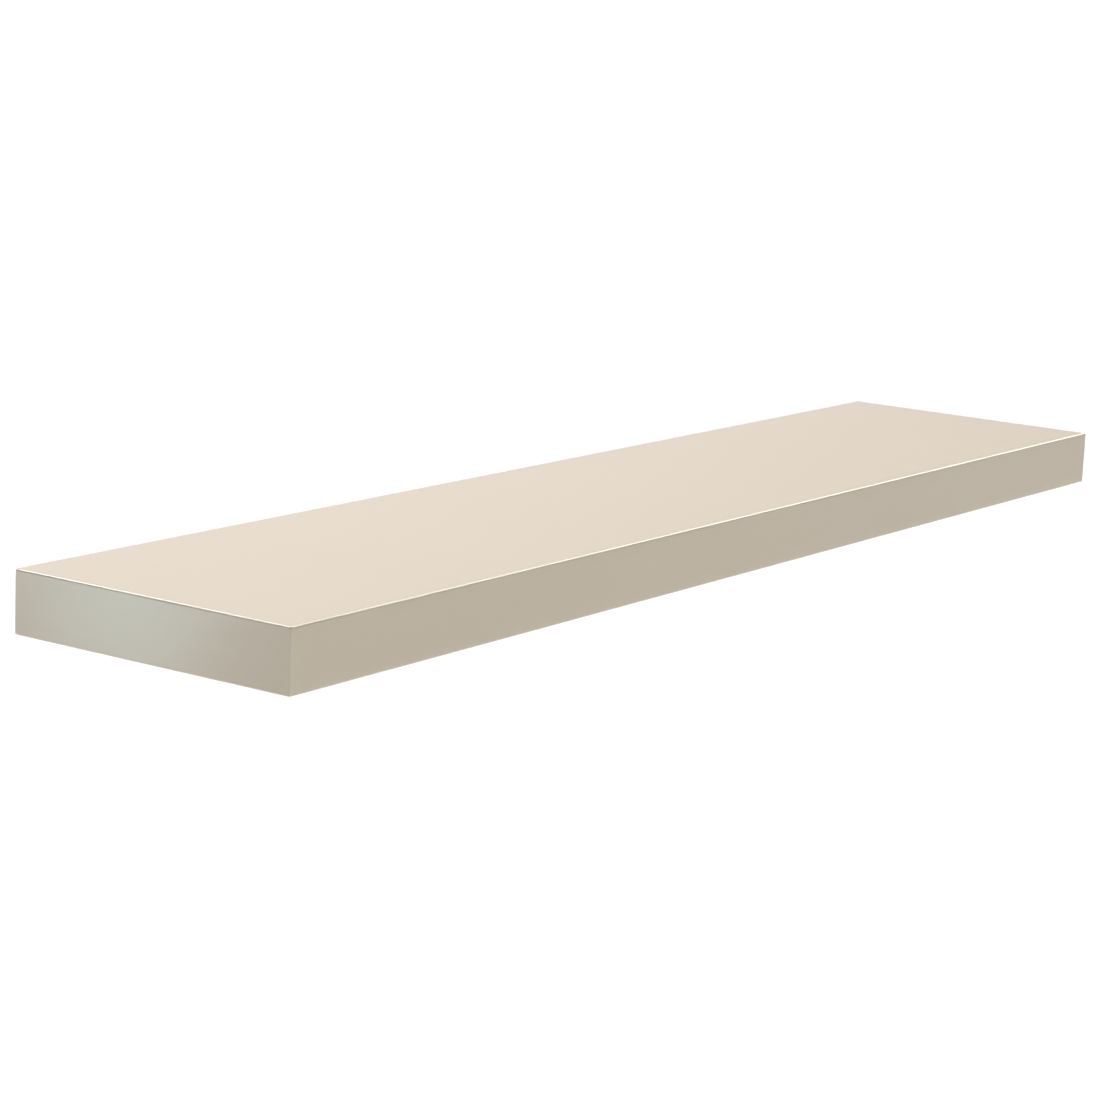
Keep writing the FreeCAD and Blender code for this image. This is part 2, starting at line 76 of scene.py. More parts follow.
# Wall rail: a flat steel bar, sawn to length, its corners rounded and its edges eased. It is
# punched with level slots for the wall screws and with a round hole for each rod, then zinc
# plated. Its back face lies on the wall.
FROM_WALL = Matrix.Rotation(math.radians(90), 4, "X")  # turns Z away from the wall
CREASE = math.radians(30)  # edges sharper than this stay crisp
OVERCUT = 0.002  # how far a cutter reaches past the surface it opens
RAIL_CORNER = 0.004
RAIL_EASE = 0.0004
SLOT_RADIUS = 0.003
SLOT_REACH = 0.004  # from a slot's middle to the centre of its round end
SPIGOT_RADIUS = 0.0045
SPIGOT_FIT = 0.00005
ZINC_DULL = (0.50, 0.52, 0.54)
ZINC_BRIGHT = (0.63, 0.64, 0.65)


def on_wall(x):
    """A place on the wall, its Z pointing away from it."""
    return Matrix.Translation((x, 0, 0)) @ FROM_WALL


def turned(bm, steps, place=Matrix(), stretch=(0, 0), sides=48, hollow=False):
    """Turn (height, radius) steps about the place's Z, and pull the quarters apart by stretch."""
    older = set(bm.verts)
    first_angle = Matrix.Rotation(math.pi / sides, 4, "Z")
    outline = [bm.verts.new(first_angle @ Vector((radius, 0, height))) for height, radius in steps]
    followers = outline[1:] + outline[:1] if hollow else outline[1:]
    edges = [bm.edges.new(pair) for pair in zip(outline, followers)]
    bmesh.ops.spin(bm, geom=outline + edges, axis=(0, 0, 1), angle=2 * math.pi, steps=sides,
                   use_merge=True)
    bmesh.ops.holes_fill(bm, edges=[edge for edge in bm.edges if edge.is_boundary])
    verts = [vert for vert in bm.verts if vert not in older]
    for vert in verts:
        vert.co.x += math.copysign(stretch[0], vert.co.x)
        vert.co.y += math.copysign(stretch[1], vert.co.y)
    bmesh.ops.transform(bm, matrix=place, verts=verts)


def to_object(name, bm):
    """Put a finished mesh in the scene, its faces pointing outwards."""
    bmesh.ops.recalc_face_normals(bm, faces=bm.faces)
    mesh = bpy.data.meshes.new(name)
    bm.to_mesh(mesh)
    bm.free()
    item = bpy.data.objects.new(name, mesh)
    bpy.context.collection.objects.link(item)
    return item


def carve(item, tool, operation="DIFFERENCE"):
    """Cut a piece with a second solid, and leave neither the solid nor a modifier behind."""
    cutter = to_object("cutter", tool)
    modifier = item.modifiers.new("carve", "BOOLEAN")
    modifier.operation = operation
    modifier.solver = "EXACT"
    modifier.object = cutter
    bpy.context.view_layer.update()
    cut = item.evaluated_get(bpy.context.evaluated_depsgraph_get())
    item.data = bpy.data.meshes.new_from_object(cut)
    item.modifiers.clear()
    bpy.data.objects.remove(cutter)


def fit(item, node, slot, *finishes):
    """Give a piece its finish, and let it stand for its node and move with it."""
    for finish in finishes:
        item.data.materials.append(finish)
    item.data.shade_smooth()
    item.data.set_sharp_from_angle(angle=CREASE)
    item.modifiers.new("flat_faces", "WEIGHTED_NORMAL").keep_sharp = True
    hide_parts(node)
    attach(item, frame["nodes"][node]["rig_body"])


def add(tree, kind, inputs, **settings):
    """One shader node. Its inputs, by name, are plain values or sockets to link from."""
    made = tree.nodes.new(f"ShaderNode{kind}")
    for name, setting in settings.items():
        setattr(made, name, setting)
    for name, source in inputs.items():
        if isinstance(source, bpy.types.NodeSocket):
            tree.links.new(source, made.inputs[name])
        else:
            made.inputs[name].default_value = source
    return made


def new_finish(name, inputs):
    """A material with plain inputs on its shader, and the piece's own coordinates to vary it by."""
    material = bpy.data.materials.new(name)
    material.use_nodes = True
    tree = material.node_tree
    shader = tree.nodes["Principled BSDF"]
    for socket, plain in inputs.items():
        shader.inputs[socket].default_value = plain
    return material, tree, shader, tree.nodes.new("ShaderNodeTexCoord").outputs["Object"]


def noise(tree, coordinates, scale, detail, stretch=(1, 1, 1)):
    """Cloudy values from 0 to 1, about scale patches to the metre, drawn out by stretch."""
    mapping = add(tree, "Mapping", {"Vector": coordinates, "Scale": stretch})
    clouds = add(tree, "TexNoise", {"Vector": mapping.outputs["Vector"], "Scale": scale, "Detail": detail})
    return clouds.outputs["Fac"]


def ramp(tree, factor, *stops):
    """Colours at given places along a factor."""
    made = add(tree, "ValToRGB", {"Fac": factor})
    elements = made.color_ramp.elements
    while len(elements) < len(stops):
        elements.new(1.0)
    for element, (place, colour) in zip(elements, stops):
        element.position = place
        element.color = (*colour, 1.0)
    return made.outputs["Color"]


def dress(tree, shader, colour, height, depth, factor=None, roughness=None):
    """Link a colour, a relief of some depth in metres, and roughness spread between two values."""
    tree.links.new(colour, shader.inputs["Base Color"])
    bump = add(tree, "Bump", {"Height": height, "Distance": depth})
    tree.links.new(bump.outputs["Normal"], shader.inputs["Normal"])
    if roughness:
        spread = add(tree, "MapRange", {"Value": factor, "To Min": roughness[0], "To Max": roughness[1]})
        tree.links.new(spread.outputs["Result"], shader.inputs["Roughness"])


def zinc_plate():
    material, tree, shader, place = new_finish("bright_zinc_plate", {"Metallic": 1.0})
    bloom = noise(tree, place, scale=55, detail=5)
    drawing_marks = noise(tree, place, scale=900, detail=2, stretch=(0.02, 1, 1))
    colour = ramp(tree, bloom, (0.3, ZINC_DULL), (0.7, ZINC_BRIGHT))
    dress(tree, shader, colour, drawing_marks, 0.00004, bloom, (0.24, 0.44))
    return material


rail_low, rail_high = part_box("wall_rail")
rail_thickness = rail_high.y - rail_low.y
slot_places = [(low[0] + high[0]) / 2 for low, high in
               (opening["box_m"] for opening in frame["record"]["physics"]["openings"])]
rod_names = ("outer_left_rod", "inner_left_rod", "inner_right_rod", "outer_right_rod")
rod_places = {name: sum(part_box(name), Vector()).x / 2 for name in rod_names}
zinc = zinc_plate()

flat_bar = bmesh.new()
bar_steps = [(0, RAIL_CORNER - RAIL_EASE), (RAIL_EASE, RAIL_CORNER),
             (rail_thickness - RAIL_EASE, RAIL_CORNER), (rail_thickness, RAIL_CORNER - RAIL_EASE)]
turned(flat_bar, bar_steps, FROM_WALL, (rail_high.x - RAIL_CORNER, rail_high.z - RAIL_CORNER))
wall_rail = to_object("slotted_flat_bar", flat_bar)
punch = bmesh.new()
for radius, reach, places in ((SLOT_RADIUS, SLOT_REACH, slot_places),
                              (SPIGOT_RADIUS + SPIGOT_FIT, 0, rod_places.values())):
    mouth = radius + RAIL_EASE + OVERCUT
    punch_steps = [(-OVERCUT, mouth), (RAIL_EASE, radius),
                   (rail_thickness - RAIL_EASE, radius), (rail_thickness + OVERCUT, mouth)]
    for x in places:
        turned(punch, punch_steps, on_wall(x), (reach, 0))
carve(wall_rail, punch)
fit(wall_rail, "wall_rail", "bracket_steel", zinc)

# Support rods: round steel bar, turned down to a spigot that passes through the wall rail, and
# welded round the foot. The weld keeps the ripples of its passes. Rods and rail are plated as one.
ROD_RADIUS = 0.006
ROD_TIP_CHAMFER = 0.0015
ROD_SIDES = 132
WELD_LEG = 0.0025
WELD_CROWN = 0.0004  # how far the weld swells past a straight fillet
WELD_STEPS = 8
WELD_RIPPLES = 22
WELD_RIPPLE_DEPTH = 0.00022
WELD_RIPPLE_LEAN = 1.6  # how far a ripple leans round the rod as it climbs, in radians


def push_out(vert, distance):
    """Move a vertex straight out from the Z axis."""
    vert.co += vert.co.xy.to_3d().normalized() * distance


weld_steps = []
for step in range(WELD_STEPS + 1):
    climb = step / WELD_STEPS
    swell = WELD_CROWN * math.sin(math.pi * climb)
    weld_steps.append((rail_thickness + WELD_LEG * climb + swell,
                       ROD_RADIUS + WELD_LEG * (1 - climb) + swell))

for name, x in rod_places.items():
    rod_length = -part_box(name)[0].y
    bar = bmesh.new()
    turned(bar, [(0, SPIGOT_RADIUS - RAIL_EASE), (RAIL_EASE, SPIGOT_RADIUS), (rail_thickness, SPIGOT_RADIUS),
                 *weld_steps, (rod_length - ROD_TIP_CHAMFER, ROD_RADIUS),
                 (rod_length, ROD_RADIUS - ROD_TIP_CHAMFER)], sides=ROD_SIDES)
    for vert in bar.verts:
        climb = (vert.co.z - rail_thickness) / WELD_LEG
        if 0 < climb < 1:
            turn = math.atan2(vert.co.y, vert.co.x)
            ripple = math.cos(WELD_RIPPLES * turn + WELD_RIPPLE_LEAN * climb) * math.sin(math.pi * climb)
            push_out(vert, WELD_RIPPLE_DEPTH * ripple)
    bmesh.ops.transform(bar, matrix=on_wall(x), verts=bar.verts)
    fit(to_object(f"welded_{name}", bar), name, "bracket_steel", zinc)

# Frame: planed softwood rails and ribs with eased arrises, doweled and glued into a ladder. The
# rear rail and the ribs are bored for the rods, and the rear rail is routed for the screw heads.
ALONG_X = Matrix.Rotation(math.radians(90), 4, "Y")  # turns Z along the wall
ARRIS = 0.0006
DOWEL_RADIUS = 0.004
DOWEL_REACH = 0.015  # from the joint to the end of a dowel
DOWEL_CHAMFER = 0.001
DOWEL_FIT = 0.0001
DOWEL_RISE = 0.010  # from the middle of the board to a pair of dowels above and below it
DOWEL_SPREAD = 0.015  # from a rib's middle to a pair of dowels beside it
DOWEL_HOLE_SIDES = 32
BORE_RADIUS = 0.0063
BORE_MOUTH = 0.0035
BORE_END_GAP = 0.003
BORE_SIDES = 64
HEAD_POCKET_RADIUS = 0.007
HEAD_POCKET_DEPTH = 0.0055
INSERT_RADIUS = 0.00475
INSERT_FIT = 0.0001
FLANGE_RADIUS = 0.0065
FLANGE_THICKNESS = 0.0012
LOCK_HOLE_RADIUS = 0.0035
PITH = (0, 0.021, 0.043)  # how far the heart of the tree lies from the board's own middle
EARLY_WOOD = (0.70, 0.51, 0.31)
LATE_WOOD = (0.61, 0.41, 0.22)
RING_LINE = (0.50, 0.31, 0.15)
FIBRE_SHADE = (0.72, 0.70, 0.68)
BOARD_SHADE = (0.82, 0.78, 0.72)
UNSHADED = (1, 1, 1)


def shade(tree, colour, share, factor, *stops):
    """A colour multiplied, by a share, with a ramp of tones along a factor."""
    mixed = add(tree, "MixRGB", {"Fac": share, "Color1": colour, "Color2": ramp(tree, factor, *stops)},
                blend_type="MULTIPLY")
    return mixed.outputs["Color"]


def softwood(name, grain_turn):
    """Pale straight-grained softwood, its grain along X turned about Z."""
    material, tree, shader, place = new_finish(name, {"Specular IOR Level": 0.3})
    mapping = add(tree, "Mapping", {"Vector": place, "Rotation": (0, 0, grain_turn), "Location": PITH})
    grain = mapping.outputs["Vector"]
    drift = noise(tree, grain, scale=9, detail=2, stretch=(0.25, 1, 1))
    rings = add(tree, "TexWave", {"Vector": grain, "Scale": 95, "Distortion": 2.2, "Detail": 2,
                                  "Detail Scale": 0.35}, wave_type="RINGS", rings_direction="X")
    fibres = noise(tree, grain, scale=700, detail=4, stretch=(0.015, 1, 1))
    growth = ramp(tree, rings.outputs["Fac"], (0.15, EARLY_WOOD), (0.8, LATE_WOOD), (0.97, RING_LINE))
    streaked = shade(tree, growth, 0.5, fibres, (0.3, FIBRE_SHADE), (0.7, UNSHADED))
    aged = shade(tree, streaked, 0.35, drift, (0.3, BOARD_SHADE), (0.7, UNSHADED))
    dress(tree, shader, aged, fibres, 0.00012, fibres, (0.5, 0.72))
    return material


def wood_block(node):
    low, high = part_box(node)
    bm = bmesh.new()
    bmesh.ops.create_cube(bm, size=1, matrix=Matrix.LocRotScale((low + high) / 2, None, high - low))
    bmesh.ops.bevel(bm, geom=bm.edges[:], offset=ARRIS, affect="EDGES", segments=2, profile=0.5, material=-1)
    return to_object(f"planed_{node}", bm)


def dowel_joints():
    """Where each dowel crosses its joint, laid along its own Z."""
    for node in ("front_rail", "rear_rail"):
        low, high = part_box(node)
        for x in (low.x, high.x):
            for z in (-DOWEL_RISE, DOWEL_RISE):
                yield Matrix.Translation((x, (low.y + high.y) / 2, z)) @ ALONG_X
    for node in rib_names:
        low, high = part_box(node)
        x = (low.x + high.x) / 2
        for side in (-1, 1):
            yield Matrix.Translation((x, low.y, side * DOWEL_RISE)) @ FROM_WALL
            yield Matrix.Translation((x + side * DOWEL_SPREAD, high.y, 0)) @ FROM_WALL


def dowel_holes():
    bm = bmesh.new()
    radius = DOWEL_RADIUS + DOWEL_FIT
    reach = DOWEL_REACH + DOWEL_FIT
    for joint in dowel_joints():
        turned(bm, [(-reach, radius), (reach, radius)], joint, sides=DOWEL_HOLE_SIDES)
    return bm


def rod_bores():
    bm = bmesh.new()
    mouth = -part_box("rear_rail")[1].y
    for name, x in rod_places.items():
        end = BORE_END_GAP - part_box(name)[0].y
        turned(bm, [(mouth - OVERCUT, BORE_RADIUS + BORE_MOUTH + OVERCUT), (mouth + BORE_MOUTH, BORE_RADIUS),
                    (end, BORE_RADIUS)], on_wall(x), sides=BORE_SIDES)
    return bm


def head_pockets():
    bm = bmesh.new()
    mouth = -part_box("rear_rail")[1].y
    for x in slot_places:
        turned(bm, [(mouth - OVERCUT, HEAD_POCKET_RADIUS), (mouth + HEAD_POCKET_DEPTH, HEAD_POCKET_RADIUS)],
               on_wall(x), (SLOT_REACH, 0))
    return bm


def upright(node, height=0.0):
    """A place in the middle of a node, its Z pointing up from a height."""
    low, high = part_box(node)
    return Matrix.Translation(((low.x + high.x) / 2, (low.y + high.y) / 2, height))


def insert_holes():
    bm = bmesh.new()
    flange = FLANGE_RADIUS + INSERT_FIT
    wall = INSERT_RADIUS + INSERT_FIT
    for node in insert_names:
        low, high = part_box(node)
        seat = low.z + FLANGE_THICKNESS
        turned(bm, [(low.z - OVERCUT, flange), (seat, flange), (seat, wall), (high.z, wall),
                    (high.z, LOCK_HOLE_RADIUS), (0, LOCK_HOLE_RADIUS)], upright(node))
    return bm


rib_names = ("outer_left_rib", "inner_left_rib", "inner_right_rib", "outer_right_rib")
insert_names = ("lock_insert_left", "lock_insert_right")
wood_along = softwood("softwood_along_wall", 0)
wood_across = softwood("softwood_from_wall", math.radians(90))

for node in ("front_rail", "left_end_rail", "right_end_rail", "rear_rail", *rib_names):
    block = wood_block(node)
    carve(block, dowel_holes())
    if node == "rear_rail" or node in rib_names:
        carve(block, rod_bores())
    if node == "rear_rail":
        carve(block, head_pockets())
    if node in ("outer_left_rib", "outer_right_rib"):
        carve(block, insert_holes())
    fit(block, node, "frame_wood", wood_along if node in ("front_rail", "rear_rail") else wood_across)

# Dowels: turned beech pins with pressed flutes that let the glue out, eased at both ends and
# driven half into each piece of a joint.
FLUTES = 16
FLUTE_DEPTH = 0.0003
SIDES_PER_FLUTE = 4
BEECH_DEEP = (0.58, 0.38, 0.23)
BEECH_PALE = (0.66, 0.46, 0.29)
BEECH_FLECK = (0.66, 0.55, 0.45)


def beech():
    material, tree, shader, place = new_finish("turned_beech", {"Specular IOR Level": 0.3})
    flecks = noise(tree, place, scale=1400, detail=2)
    tone = noise(tree, place, scale=120, detail=3)
    plain = ramp(tree, tone, (0.3, BEECH_DEEP), (0.7, BEECH_PALE))
    flecked = shade(tree, plain, 0.6, flecks, (0.36, BEECH_FLECK), (0.5, UNSHADED))
    dress(tree, shader, flecked, flecks, 0.00006, tone, (0.5, 0.65))
    return material


dowels = bmesh.new()
shoulder = DOWEL_REACH - DOWEL_CHAMFER
tip_radius = DOWEL_RADIUS - DOWEL_CHAMFER
pin_steps = [(-DOWEL_REACH, tip_radius), (-shoulder, DOWEL_RADIUS),
             (shoulder, DOWEL_RADIUS), (DOWEL_REACH, tip_radius)]
for joint in dowel_joints():
    pin = bmesh.new()
    turned(pin, pin_steps, sides=FLUTES * SIDES_PER_FLUTE)
    for vert in pin.verts:
        if abs(vert.co.z) < DOWEL_REACH - DOWEL_CHAMFER / 2:
            flute = math.cos(FLUTES * math.atan2(vert.co.y, vert.co.x))
            push_out(vert, -FLUTE_DEPTH * max(flute, 0))
    bmesh.ops.transform(pin, matrix=joint, verts=pin.verts)
    pin_mesh = bpy.data.meshes.new("pin")
    pin.to_mesh(pin_mesh)
    pin.free()
    dowels.from_mesh(pin_mesh)
    bpy.data.meshes.remove(pin_mesh)
fit(to_object("fluted_dowels", dowels), "frame_dowels", "dowel_beech", beech())

# Honeycomb: brown kraft paper, printed with glue lines, stacked and pulled open into cells that
# stand on end between the skins. Each bay of the frame holds one block, so the nodes stay.
KRAFT_DEEP = (0.40, 0.27, 0.15)
KRAFT_PALE = (0.50, 0.36, 0.22)
KRAFT_FIBRE = (0.68, 0.62, 0.55)


def kraft_paper():
    material, tree, shader, place = new_finish("kraft_paper", {"Specular IOR Level": 0.2, "Roughness": 0.85})
    fibres = noise(tree, place, scale=1100, detail=5, stretch=(1, 1, 0.25))
    cloud = noise(tree, place, scale=140, detail=3)
    plain = ramp(tree, cloud, (0.3, KRAFT_DEEP), (0.7, KRAFT_PALE))
    fibrous = shade(tree, plain, 0.55, fibres, (0.35, KRAFT_FIBRE), (0.6, UNSHADED))
    dress(tree, shader, fibrous, fibres, 0.00006)
    return material


kraft = kraft_paper()
for node, core in frame["nodes"].items():
    if node.startswith("honeycomb_bay"):
        for material_slot in core.material_slots:
            material_slot.material = kraft

# Skins: thin fibreboard, V-grooved, folded round the frame and glued, so that they meet in mitres
# under one unbroken coat of gloss cream lacquer. The edges are sanded round before the lacquer,
# and the cut edges at the wall stay bare.
EDGE_RADIUS = 0.0015
EDGE_SEGMENTS = 8
SKIN_THICKNESS = 0.004
LACQUER_REACH = 0.0005  # deeper than any part of a rounded edge
ON_PLANE = 1e-6
CREAM_DEEP = (0.592, 0.499, 0.399)
CREAM_PALE = (0.602, 0.507, 0.405)
FIBREBOARD_DEEP = (0.36, 0.25, 0.16)
FIBREBOARD_PALE = (0.46, 0.33, 0.22)
FIBREBOARD_FLECK = (0.62, 0.56, 0.50)


def gloss_lacquer():
    material, tree, shader, place = new_finish("gloss_cream_lacquer", {"IOR": 1.5})
    cloud = noise(tree, place, scale=3.5, detail=2)
    spray = noise(tree, place, scale=420, detail=2)
    colour = ramp(tree, cloud, (0.3, CREAM_DEEP), (0.7, CREAM_PALE))
    dress(tree, shader, colour, spray, 0.000004, spray, (0.13, 0.19))
    return material


def bare_fibreboard():
    material, tree, shader, place = new_finish("bare_fibreboard",
                                               {"Specular IOR Level": 0.15, "Roughness": 0.9})
    fibres = noise(tree, place, scale=1800, detail=4)
    layers = noise(tree, place, scale=260, detail=3)
    plain = ramp(tree, layers, (0.3, FIBREBOARD_DEEP), (0.7, FIBREBOARD_PALE))
    fibrous = shade(tree, plain, 0.7, fibres, (0.35, FIBREBOARD_FLECK), (0.65, UNSHADED))
    dress(tree, shader, fibrous, fibres, 0.00008)
    return material


def rounded_board():
    """The whole outside of the board, with every edge rounded except those at the wall."""
    bm = bmesh.new()
    size = Matrix.LocRotScale((cad_low + cad_high) / 2, None, cad_high - cad_low)
    bmesh.ops.create_cube(bm, size=1, matrix=size)
    free_edges = [edge for edge in bm.edges if min(vert.co.y for vert in edge.verts) < cad_high.y - ON_PLANE]
    bmesh.ops.bevel(bm, geom=free_edges, offset=EDGE_RADIUS, affect="EDGES", segments=EDGE_SEGMENTS,
                    profile=0.5, material=-1)
    return bm


def saw(bm, point, outward):
    """Cut off what lies past a plane, and close the cut."""
    everything = bm.verts[:] + bm.edges[:] + bm.faces[:]
    cut = bmesh.ops.bisect_plane(bm, geom=everything, dist=ON_PLANE, plane_co=point, plane_no=outward,
                                 clear_outer=True)["geom_cut"]
    edges = [item for item in cut if isinstance(item, bmesh.types.BMEdge)]
    if edges:
        bmesh.ops.contextual_create(bm, geom=edges)


def bare_cuts(item):
    """Leave bare the faces that lie deeper than the lacquer reaches: mitres, wall edges and holes."""
    for face in item.data.polygons:
        place = face.center - board_middle
        depth = min((board_half - place * side).dot(side * side) for side in skin_sides.values())
        face.material_index = int(depth > LACQUER_REACH)


board_middle = (cad_low + cad_high) / 2
board_half = (cad_high - cad_low) / 2
skin_sides = {
    "top_skin": Vector((0, 0, 1)),
    "bottom_skin": Vector((0, 0, -1)),
    "front_skin": Vector((0, -1, 0)),
    "left_end_skin": Vector((-1, 0, 0)),
    "right_end_skin": Vector((1, 0, 0)),
}
lacquer = gloss_lacquer()
fibreboard = bare_fibreboard()
for node, side in skin_sides.items():
    sheet = rounded_board()
    outside = board_middle + board_half * side
    saw(sheet, outside - side * SKIN_THICKNESS, -side)
    for other in skin_sides.values():
        if side.dot(other) == 0:
            saw(sheet, outside + board_half * other, other - side)
    skin = to_object(f"lacquered_{node}", sheet)
    if node == "bottom_skin":
        carve(skin, insert_holes())
    bare_cuts(skin)
    fit(skin, node, "lacquer", lacquer, fibreboard)

# Lock inserts: turned brass sleeves with three barbs, pressed into the underside under the outer
# rods until the flange is flush. Each is threaded for a grub screw.
LOCK_RADIUS = 0.003
LOCK_FIT = 0.0001
INSERT_BARBS = 3
INSERT_SIDES = 64
BARB_DEPTH = 0.0005
FLANGE_EASE = 0.0003
BRASS_DULL = (0.62, 0.42, 0.17)
BRASS_BRIGHT = (0.74, 0.54, 0.25)


def turned_brass():
    material, tree, shader, place = new_finish("turned_brass", {"Metallic": 1.0})
    tarnish = noise(tree, place, scale=260, detail=4)
    tool_marks = noise(tree, place, scale=2600, detail=2, stretch=(1, 1, 0.1))
    colour = ramp(tree, tarnish, (0.3, BRASS_DULL), (0.7, BRASS_BRIGHT))
    dress(tree, shader, colour, tool_marks, 0.00002, tarnish, (0.2, 0.36))
    return material


brass = turned_brass()
for node in insert_names:
    low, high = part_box(node)
    seat = low.z + FLANGE_THICKNESS
    barb = (high.z - seat) / INSERT_BARBS
    bore = LOCK_RADIUS + LOCK_FIT
    sleeve_steps = [(high.z, bore), (low.z + FLANGE_EASE, bore), (low.z, bore + FLANGE_EASE),
                    (low.z, FLANGE_RADIUS - FLANGE_EASE), (low.z + FLANGE_EASE, FLANGE_RADIUS),
                    (seat, FLANGE_RADIUS)]
    for number in range(INSERT_BARBS):
        sleeve_steps.append((seat + barb * number, INSERT_RADIUS))
        sleeve_steps.append((seat + barb * (number + 1), INSERT_RADIUS - BARB_DEPTH))
    sleeve = bmesh.new()
    turned(sleeve, sleeve_steps, upright(node), sides=INSERT_SIDES, hollow=True)
    fit(to_object(f"barbed_{node}", sleeve), node, "insert_brass", brass)

# Lock screws: hardened steel grub screws with a rolled thread, a hexagon socket below and a cup
# point above. Turned in, the cup bites the rod and the board can't slide off.
THREAD_PITCH = 0.001
THREAD_DEPTH = 0.00054
THREAD_CREST = 0.000125
TURN_STEPS = 40
SCREW_CHAMFER = 0.0008
CUP_DEPTH = 0.0008
CUP_FLOOR = 0.0002
KEY_WIDTH = 0.003  # across the flats of the socket
KEY_SIDES = 6
KEY_DEPTH = 0.0035
OXIDE_BLACK = (0.035, 0.035, 0.038)
OXIDE_WORN = (0.070, 0.070, 0.074)


def black_oxide():
    material, tree, shader, place = new_finish("black_oxide_steel", {"Metallic": 1.0})
    oil = noise(tree, place, scale=500, detail=3)
    grit = noise(tree, place, scale=4200, detail=2)
    colour = ramp(tree, oil, (0.3, OXIDE_BLACK), (0.7, OXIDE_WORN))
    dress(tree, shader, colour, grit, 0.00001, oil, (0.32, 0.5))
    return material


def threaded_bar(length):
    """A threaded bar up from the origin: one pitch of outline, spun up its helix and sawn square."""
    bm = bmesh.new()
    root = LOCK_RADIUS - THREAD_DEPTH
    flank = (THREAD_PITCH - THREAD_CREST) / 2
    outline = [(root, 0), (LOCK_RADIUS, flank), (LOCK_RADIUS, flank + THREAD_CREST), (root, THREAD_PITCH)]
    verts = [bm.verts.new((radius, 0, height - 2 * THREAD_PITCH)) for radius, height in outline]
    edges = [bm.edges.new(pair) for pair in zip(verts, verts[1:])]
    turns = math.ceil(length / THREAD_PITCH) + 3
    bmesh.ops.spin(bm, geom=verts + edges, angle=2 * math.pi * turns, steps=TURN_STEPS * turns,
                   axis=(0, 0, 1), cent=(0, 0, 0), dvec=(0, 0, THREAD_PITCH / TURN_STEPS))
    bmesh.ops.remove_doubles(bm, verts=bm.verts, dist=ON_PLANE)
    saw(bm, (0, 0, 0), (0, 0, -1))
    saw(bm, (0, 0, length), (0, 0, 1))
    return bm


oxide = black_oxide()
key_corner = KEY_WIDTH / math.sqrt(3)
cup_rim = LOCK_RADIUS - SCREW_CHAMFER
widest = LOCK_RADIUS + OVERCUT
narrowest = LOCK_RADIUS - 2 * SCREW_CHAMFER
for node in ("lock_screw_left", "lock_screw_right"):
    low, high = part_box(node)
    length = high.z - low.z
    place = upright(node, low.z)
    thread = threaded_bar(length)
    bmesh.ops.transform(thread, matrix=place, verts=thread.verts)
    screw = to_object(f"threaded_{node}", thread)
    chamfers = bmesh.new()
    turned(chamfers, [(-SCREW_CHAMFER, narrowest), (SCREW_CHAMFER + OVERCUT, widest),
                      (length - SCREW_CHAMFER - OVERCUT, widest), (length + SCREW_CHAMFER, narrowest)],
           place)
    carve(screw, chamfers, "INTERSECT")
    hollows = bmesh.new()
    turned(hollows, [(-OVERCUT, key_corner), (KEY_DEPTH, key_corner)], place, sides=KEY_SIDES)
    turned(hollows, [(length - CUP_DEPTH, CUP_FLOOR), (length + CUP_DEPTH, 2 * cup_rim - CUP_FLOOR)], place)
    carve(screw, hollows)
    fit(screw, node, "lock_steel", oxide)

# Floor: a wide, pale, matt studio floor. It lies so far below the board that no shadow and no
# horizon come into the picture.
FLOOR_DROP = 4.0
FLOOR_HALF = 400.0
FLOOR_TONE = (0.97, 0.96, 0.97, 1.0)

floor_mesh = bmesh.new()
bmesh.ops.create_grid(floor_mesh, size=FLOOR_HALF, matrix=Matrix.Translation((0, 0, -FLOOR_DROP)))
floor = to_object("studio_floor", floor_mesh)
floor_finish = new_finish("pale_floor", {"Base Color": FLOOR_TONE, "Roughness": 0.9,
                                         "Specular IOR Level": 0.0})[0]
floor.data.materials.append(floor_finish)

# Light: a white room, dimmer and cooler to the left, with a broad bright window behind that the top
# mirrors. Two strip lights arch over the right end and behind for the upper edges to catch. A low
# oval softbox shows in the left end, and a low strip lights the front and its near upright edge.
ROOM_WHITE = (1.0, 1.0, 1.0, 1.0)
ROOM_LEFT = (0.08, 0.13, 0.15)
ROOM_RIGHT = (0.414, 0.382, 0.31)
WINDOW_TOWARDS = (0.302, 0.830, 0.470)
WINDOW_GLOW = (0.849, 0.789, 0.784, 1.0)
WINDOW_CORE = math.cos(math.radians(20))  # bright all over inside this angle
WINDOW_EDGE = math.cos(math.radians(62))  # gone outside this one
# An arch has a middle and a half width, across it and along it, and a glow.
RIGHT_ARCH = {"across": (0.835, 0.095), "along": (0.18, 0.80), "glow": (6.8, 6.8, 6.8, 1.0)}
BACK_ARCH = {"across": (0.655, 0.065), "along": (0.25, 0.83), "glow": (9.3, 9.6, 9.6, 1.0)}
OVAL_PLACE = Vector((-1.80, 0.995, -0.26))
OVAL_AIM = Vector((-0.60, -0.10, 0.0))
OVAL_SIZE = (0.24, 0.42)
OVAL_POWER = 1.034
OVAL_TINT = (0.66, 0.94, 0.99)
STRIP_PLACE = Vector((-0.79, -2.19, -0.474))
STRIP_AIM = Vector((-0.60, -0.254, 0.0))
STRIP_SIZE = (1.8, 0.25)
STRIP_POWER = 4.8
STRIP_TINT = (0.72, 1.0, 1.0)

world = bpy.data.worlds.new("studio")
world.use_nodes = True
room = world.node_tree
direction = room.nodes.new("ShaderNodeTexCoord").outputs["Generated"]
towards = add(room, "SeparateXYZ", {"Vector": direction}).outputs


